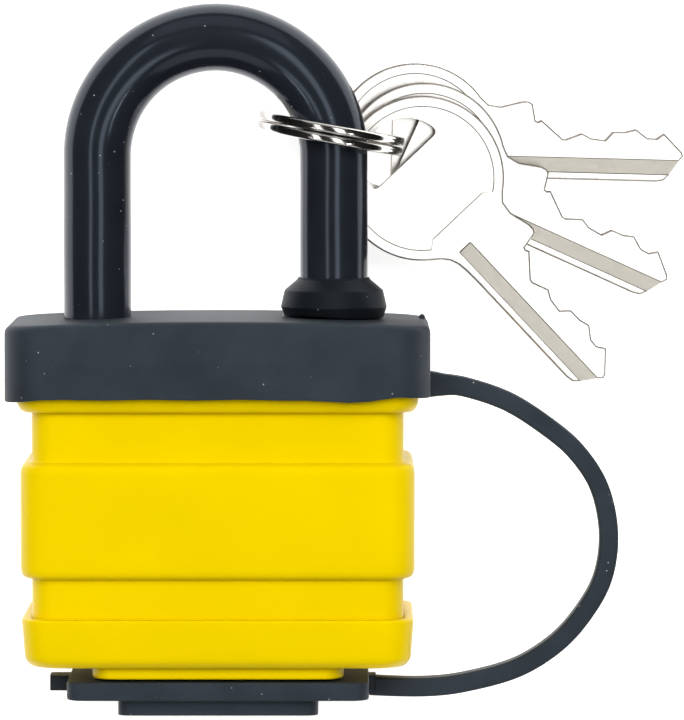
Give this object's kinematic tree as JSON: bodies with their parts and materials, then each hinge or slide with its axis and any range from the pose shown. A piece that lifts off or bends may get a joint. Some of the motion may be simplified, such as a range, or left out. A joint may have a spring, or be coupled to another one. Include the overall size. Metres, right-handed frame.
{
  "type": "padlock",
  "caption": "Weatherproof laminated padlock with a rubber jacket, plastic case, strapped keyway cover, sleeved shackle and keys on a split ring.",
  "frame": {"origin": "centre of the back face of the case's middle band, with the lock on its back", "axes": "+Z from the back of the lock to its front, +Y along the legs to the shackle's bend, +X towards the toe leg and the strap"},
  "size_m": [0.0802, 0.083, 0.0283],
  "materials": {
    "yellow_plastic": "satin moulded",
    "black_rubber": "matte moulded",
    "black_sleeve": "satin extruded",
    "hardened_steel": "ground",
    "laminated_steel": "punched, oiled",
    "brass": "turned",
    "nickel_plate": "bright nickel plate",
    "spring_steel": "drawn wire"
  },
  "bodies": {
    "lock_body": {"case_base": "yellow_plastic", "case_shell": "yellow_plastic", "cylinder_housing": "brass", "driver_pin_1": "hardened_steel", "driver_pin_2": "hardened_steel", "driver_pin_3": "hardened_steel", "driver_pin_4": "hardened_steel", "heel_pin": "hardened_steel", "heel_spring": "spring_steel", "heel_spring_cap": "hardened_steel", "latch_spring": "spring_steel", "pin_spring_1": "spring_steel", "pin_spring_2": "spring_steel", "pin_spring_3": "spring_steel", "pin_spring_4": "spring_steel", "plate_01": "laminated_steel", "plate_02": "laminated_steel", "plate_03": "laminated_steel", "plate_04": "laminated_steel", "plate_05": "laminated_steel", "plate_06": "laminated_steel", "plate_07": "laminated_steel", "plate_08": "laminated_steel", "plate_09": "laminated_steel", "plate_10": "laminated_steel", "plate_11": "laminated_steel", "rivet_1": "hardened_steel", "rivet_2": "hardened_steel", "rivet_3": "hardened_steel", "rivet_4": "hardened_steel", "strap": "black_rubber", "top_cover": "black_rubber"},
    "shackle": {"shackle_rod": "hardened_steel", "shackle_sleeve": "black_sleeve", "shackle_seal": "black_rubber"},
    "ring": {"split_ring": "nickel_plate"},
    "first_key": {"key_1": "nickel_plate"},
    "second_key": {"key_2": "nickel_plate"},
    "third_key": {"key_3": "nickel_plate"},
    "plug_body": {"plug": "brass", "plug_clip": "spring_steel", "cam": "hardened_steel", "key_pin_1": "brass", "key_pin_2": "brass", "key_pin_3": "brass", "key_pin_4": "brass"},
    "latch_bolt": {"latch": "hardened_steel"},
    "cover": {"keyway_cover": "black_rubber"}
  },
  "joints": [
    {"name": "shackle_lift", "type": "slide", "parent": "lock_body", "child": "shackle", "axis": [0, 1, 0], "range_m": [0, 0.0154]},
    {"name": "ring_swing", "type": "hinge", "parent": "shackle", "child": "ring", "pos_m": [0.01353, 0.04486, 0.01275], "axis": [0, 1, 0], "range_deg": [-45, 3]},
    {"name": "first_key_fan", "type": "hinge", "parent": "ring", "child": "first_key", "pos_m": [0.02074, 0.04341, 0.00707], "axis": [0.0837, 0, 0.9965], "range_deg": [-10, 30]},
    {"name": "second_key_fan", "type": "hinge", "parent": "ring", "child": "second_key", "pos_m": [0.01982, 0.04357, 0.00519], "axis": [0.0837, 0, 0.9965], "range_deg": [-30, 30]},
    {"name": "third_key_fan", "type": "hinge", "parent": "ring", "child": "third_key", "pos_m": [0.01819, 0.04387, 0.00337], "axis": [0.0837, 0, 0.9965], "range_deg": [-30, 35]},
    {"name": "plug_turn", "type": "hinge", "parent": "lock_body", "child": "plug_body", "pos_m": [-0.0004, -0.0136, 0.01275], "axis": [0, 1, 0], "range_deg": [0, 90]},
    {"name": "latch_slide", "type": "slide", "parent": "lock_body", "child": "latch_bolt", "axis": [1, 0, 0], "range_m": [0, 0.002]},
    {"name": "cover_pull", "type": "slide", "parent": "lock_body", "child": "cover", "axis": [0, -1, 0], "range_m": [0, 0.006]}
  ],
  "couplings": [
    {"joint": "latch_slide", "follows": "plug_turn", "m_per_rad": 0.0012732}
  ]
}
